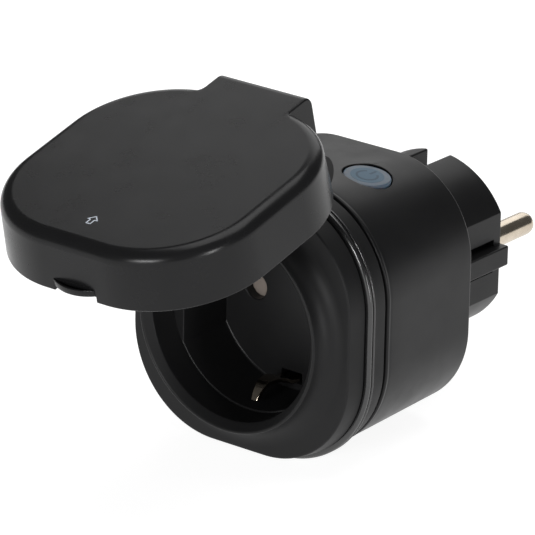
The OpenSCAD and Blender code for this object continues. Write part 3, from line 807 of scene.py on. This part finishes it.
for name, side in (("live_pin", 1), ("neutral_pin", -1)):
    root = pin_lo.y
    profile = [(2.0, root), (2.2, root + 0.2), (2.2, -0.02), (PIN_R - 0.05, 0.0), (PIN_R, 0.08)]
    profile += [(PIN_R, 6.0), (PIN_R, 12.0)]
    profile += [(PIN_R * math.cos(t) ** 0.8 if t < 1.5 else 0.0, pin_hi.y - 2.3 + 2.3 * math.sin(t))
                for t in arc_steps(0, 90, 14)]
    rod = turned("mains_" + name, profile, u=side * PIN_X, n=72)
    settle(rod, "root", "contact_nickel", stands_for=[name])


# ---------------------------------------------------------------- button
cap = [(1.55, -5.0), (1.6, -4.9), (1.6, -2.2), (cap_r - 0.1, -2.2), (cap_r, -2.1)]
cap += [(cap_r - 0.4 + 0.4 * math.cos(t), cap_top - 0.42 + 0.4 * math.sin(t)) for t in arc_steps(0, 90, 6)]
cap += [(3.6, cap_top), (1.8, cap_top + 0.01)]
button = turned("button_cap", cap, on_button, n=96)
settle(button, "button", "button_translucent", stands_for=["power_button"])

gap, ring_out, ring_in = 38, 2.3, 1.85
mark = [(ring_out * math.sin(t), ring_out * math.cos(t)) for t in arc_steps(gap, 360 - gap, 60)]
mark += [(ring_in * math.sin(t), ring_in * math.cos(t)) for t in arc_steps(360 - gap, gap, 60)]
bar = filleted([(-0.25, 0.9, 0.1), (0.25, 0.9, 0.1), (0.25, 2.9, 0.1), (-0.25, 2.9, 0.1)])
film_low, film_high = cap_top - 0.01, cap_top + 0.035
icon = prism("power_ring", mark, film_low, film_high, on_button)
join(icon, prism("power_bar", bar, film_low, film_high, on_button))
icon.name = "power_icon"
settle(icon, "button", "button_translucent", ICON)
lens = [(3.4 * math.cos(t), 3.4 * math.sin(t)) for t in arc_steps(0, 360, 64)[:-1]]
lens = prism("power_lens", lens, film_low, cap_top + 0.02, on_button)
settle(lens, "button", "button_translucent", LENS)


# ---------------------------------------------------------------- screws
def cross_screw(name, x, z, head_y, head_r, head_t, shank_r, end_y, facing):
    """A pan head with a cross recess, on a threaded shank; facing is the head's outward sense along Y."""
    dome = [(head_r * math.cos(t), head_t * (0.35 + 0.65 * math.sin(t))) for t in arc_steps(0, 82, 8)]
    profile = [(shank_r, end_y), (shank_r, head_y), (head_r, head_y)]
    profile += [(r, head_y + facing * h) for r, h in dome]
    screw = turned(name, profile, u=x, v=z, n=48)
    top = head_y + facing * head_t
    low, high = sorted((top - facing * 0.8, top + facing * 0.5))
    long, thin = head_r * 0.62, head_r * 0.14
    cut(screw, brick("slot", (x - long, low, z - thin), (x + long, high, z + thin)))
    cut(screw, brick("slot", (x - thin, low, z - long), (x + thin, high, z + long)))
    return screw


heads = [cross_screw("corner_screws", x, z, REAR_Y - 3.2, 2.4, 1.8, 1.38, BAND_Y - 5, 1)
         for x, z in CORNERS]
bm = bmesh.new()
for head in heads:
    bm.from_mesh(head.data)
for head in heads[1:]:
    bpy.data.objects.remove(head)
bm.to_mesh(heads[0].data)
bm.free()
settle(heads[0], "root", "steel_plated", stands_for=["housing_screws"])
insert_screw_lo, insert_screw_hi = box_mm("insert_screw")
middle = cross_screw("block_screw", 0, 0, insert_screw_hi.y - 1.4, 2.6, 1.4, 1.0, insert_screw_lo.y, 1)
settle(middle, "root", "steel_plated", stands_for=["insert_screw"])


# ---------------------------------------------------------------- floor, light and camera
def studio_floor(z):
    size = 3000
    mesh = bpy.data.meshes.new("studio_floor")
    mesh.from_pydata([(x * MM, y * MM, z * MM) for x, y in
                      ((-size, -size), (size, -size), (size, size), (-size, size))], [], [(0, 1, 2, 3)])
    floor = bpy.data.objects.new("studio_floor", mesh)
    bpy.context.scene.collection.objects.link(floor)
    mat, tree, shader = nodes_of("floor_paper")
    shader.inputs["Roughness"].default_value = 0.9
    shader.inputs["Specular IOR Level"].default_value = 0.1
    shader.inputs["Emission Color"].default_value = (1, 1, 1, 1)
    shader.inputs["Emission Strength"].default_value = 0.90
    paper = tint(tree, noise(tree, 2.0), (0.36, 0.36, 0.36), (0.38, 0.38, 0.38))
    tree.links.new(paper, shader.inputs["Base Color"])
    mesh.materials.append(mat)


def lamp(name, heading, height, size, radiance, distance=1600):
    """A soft box in a direction given in degrees: heading, from the front towards +X, and height."""
    turn, rise = math.radians(heading), math.radians(height)
    towards = Vector((math.sin(turn) * math.cos(rise), -math.cos(turn) * math.cos(rise), math.sin(rise)))
    data = bpy.data.lights.new(name, "AREA")
    data.shape = "RECTANGLE"
    data.size, data.size_y = size[0] * MM, size[1] * MM
    data.energy = radiance * math.pi * data.size * data.size_y
    light = bpy.data.objects.new(name, data)
    light.location = (Vector((0, -45, 0)) + towards * distance) * MM
    light.rotation_euler = towards.to_track_quat("Z", "Y").to_euler()
    bpy.context.scene.collection.objects.link(light)


studio_floor(-bead_half)
world = bpy.data.worlds.new("studio")
bpy.context.scene.world = world
world.use_nodes = True
world.node_tree.nodes["Background"].inputs["Color"].default_value = (1.0, 1.0, 1.0, 1)
world.node_tree.nodes["Background"].inputs["Strength"].default_value = 0.09
lamp("sweep", -152, 30, (1300, 1000), 1.42)
lamp("top", 150, 80, (1200, 1200), 2.8)
lamp("front", 10, 13, (560, 240), 28)
lamp("right", 74, 5, (260, 420), 20)

azimuth, elevation, roll = math.radians(37.8), math.radians(20.75), math.radians(1.2)
target, distance = Vector((-9.0, -44.5, 3.24)), 1000
back = Vector((math.sin(azimuth) * math.cos(elevation), -math.cos(azimuth) * math.cos(elevation),
               math.sin(elevation)))
right = Vector((math.cos(azimuth), math.sin(azimuth), 0))
up = back.cross(right)
side = right * math.cos(roll) + up * math.sin(roll)
top = up * math.cos(roll) - right * math.sin(roll)
data = bpy.data.cameras.new("camera")
data.sensor_width = 36
data.lens = 338.4672897
data.clip_end = 50
camera = bpy.data.objects.new("camera", data)
camera.matrix_world = Matrix.Translation((target + back * distance) * MM) @ Matrix(
    (side, top, back)).transposed().to_4x4()
bpy.context.scene.collection.objects.link(camera)
bpy.context.scene.camera = camera
bpy.context.scene.view_settings.view_transform = "Standard"
